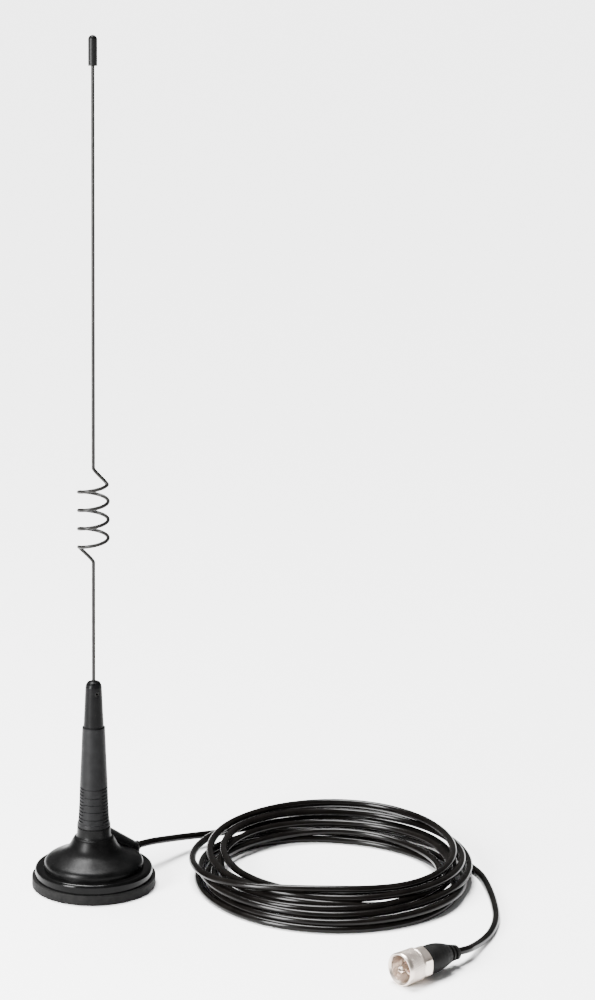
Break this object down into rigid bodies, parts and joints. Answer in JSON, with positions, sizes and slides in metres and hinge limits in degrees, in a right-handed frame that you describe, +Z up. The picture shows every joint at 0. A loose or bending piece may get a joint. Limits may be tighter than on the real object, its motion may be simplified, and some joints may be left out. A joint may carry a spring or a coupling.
{
  "type": "omnidirectional antenna",
  "caption": "Magnet-mount whip antenna: round magnetic foot, base coil housing, whip with an open phasing coil, and a coiled coaxial lead ending in a screw-on plug.",
  "frame": {"origin": "centre of the rubber boot's bottom face, on the mast's axis", "axes": "+Z up along the mast; -Y towards the viewer, +X towards the coiled lead"},
  "size_m": [0.2808, 0.2571, 0.508],
  "materials": {
    "boot_rubber": "matte moulded rubber",
    "cup_paint": "gloss black paint",
    "ferrite": "dull sintered ferrite",
    "bare_steel": "zinc-plated steel",
    "dome_plastic": "satin moulded plastic",
    "housing_plastic": "matte moulded plastic",
    "brass": "machined",
    "former_plastic": "natural acetal",
    "enamelled_wire": "enamelled copper",
    "black_chrome": "gloss black chrome",
    "black_steel": "blackened spring steel",
    "cap_plastic": "satin moulded plastic",
    "cable_pvc": "satin extruded PVC",
    "plug_rubber": "matte moulded rubber",
    "nickel": "bright nickel plate",
    "phenolic": "moulded phenolic",
    "copper": "bare copper"
  },
  "bodies": {
    "base": {"magnet_boot": "boot_rubber", "magnet_cup": "cup_paint", "ring_magnet": "ferrite", "pole_piece": "bare_steel", "base_screws": "bare_steel", "base_dome": "dome_plastic", "ground_plate": "bare_steel", "braid_clamp": "bare_steel", "clamp_screws": "bare_steel", "coax_entry": "cable_pvc", "coax_core": "copper", "cable_grommet": "boot_rubber", "mast_socket": "brass", "solder_lug": "brass", "lug_screw": "bare_steel", "coax_lead": "cable_pvc", "coax_coil": "cable_pvc", "coax_tail": "cable_pvc", "plug_boot": "plug_rubber", "plug_cable_end": "cable_pvc", "plug_body": "nickel", "plug_reducer": "nickel", "plug_insulator": "phenolic", "plug_pin": "nickel"},
    "seal": {"housing_seal": "boot_rubber"},
    "mast": {"coil_housing": "housing_plastic", "mast_stud": "brass", "coil_former": "former_plastic", "loading_winding": "enamelled_wire", "upper_insert": "brass", "ferrule": "black_chrome"},
    "set_screw": {"set_screw": "black_steel"},
    "whip": {"whip_rod": "black_chrome", "tip_cap": "cap_plastic"},
    "coupling_nut": {"coupling_nut": "nickel"}
  },
  "joints": [
    {"name": "mast_lift", "type": "slide", "parent": "base", "child": "seal", "axis": [0, 0, 1], "range_m": [0, 0.01]},
    {"name": "mast_turn", "type": "hinge", "parent": "seal", "child": "mast", "pos_m": [0, 0, 0.0374], "axis": [0, 0, 1], "range_deg": [0, 2885]},
    {"name": "set_screw_travel", "type": "slide", "parent": "mast", "child": "set_screw", "axis": [0.5, -0.866, 0], "range_m": [0, 0.0015]},
    {"name": "whip_slide", "type": "slide", "parent": "mast", "child": "whip", "axis": [0, 0, 1], "range_m": [-0.002, 0.012]},
    {"name": "nut_spin", "type": "hinge", "parent": "base", "child": "coupling_nut", "pos_m": [0.18695, -0.13989, 0.0095], "axis": [-0.7431, -0.6691, 0], "continuous": true}
  ],
  "couplings": [
    {"joint": "mast_turn", "follows": "mast_lift", "rad_per_m": 5026.5}
  ]
}
